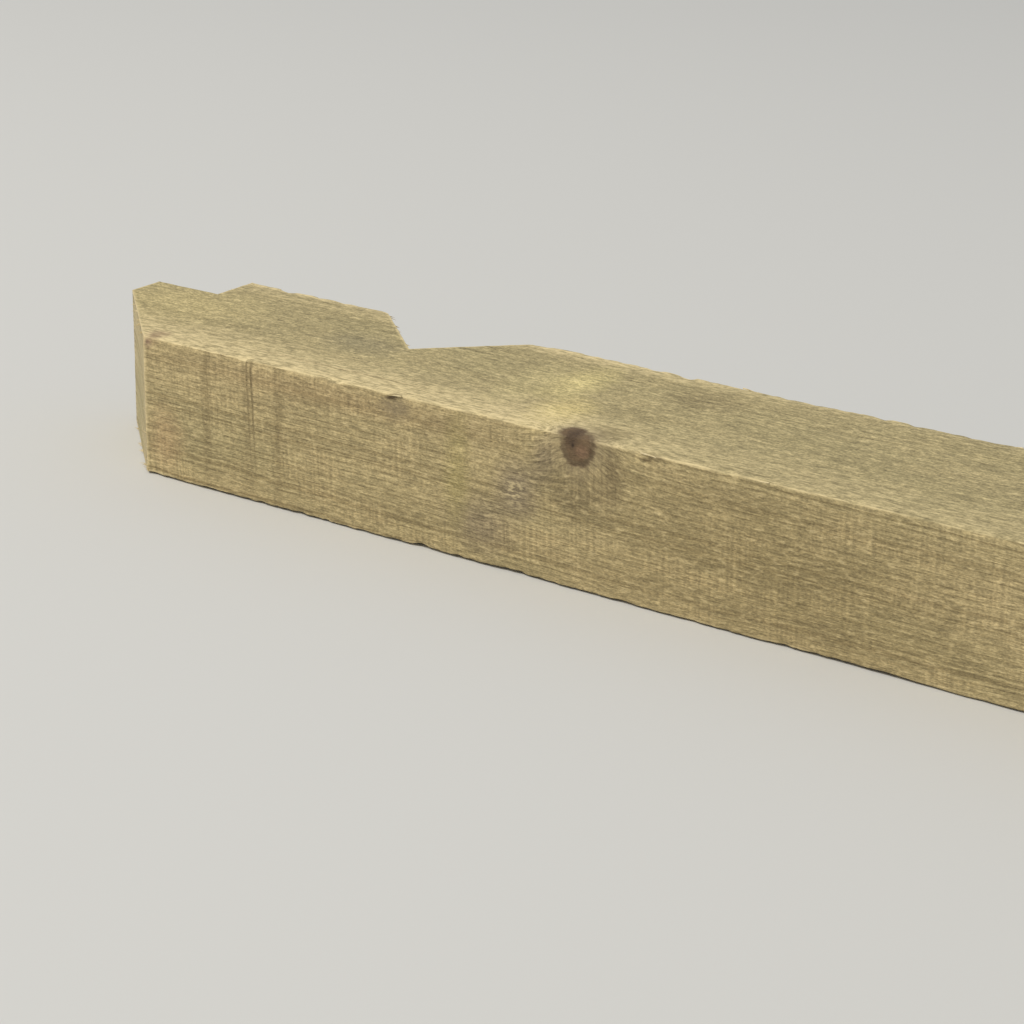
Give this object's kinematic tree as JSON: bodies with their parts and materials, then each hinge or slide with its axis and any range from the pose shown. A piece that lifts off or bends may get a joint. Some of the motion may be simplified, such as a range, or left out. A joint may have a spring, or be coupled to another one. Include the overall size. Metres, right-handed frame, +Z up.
{
  "type": "notched fence post",
  "caption": "Rectangular sawn softwood fence post lying on its side, with V notches for rails along one face and a weathered, rebated top end.",
  "frame": {"origin": "middle of the post's length and width, in the plane that it lies on", "axes": "+X along the post from its shaped top end to its foot, +Y from the plain back to the notched face, +Z up"},
  "size_m": [2.4, 0.15, 0.1],
  "materials": {
    "treated_softwood": "rough sawn, pressure treated olive tan"
  },
  "bodies": {
    "root": {"post": "treated_softwood"}
  },
  "joints": []
}
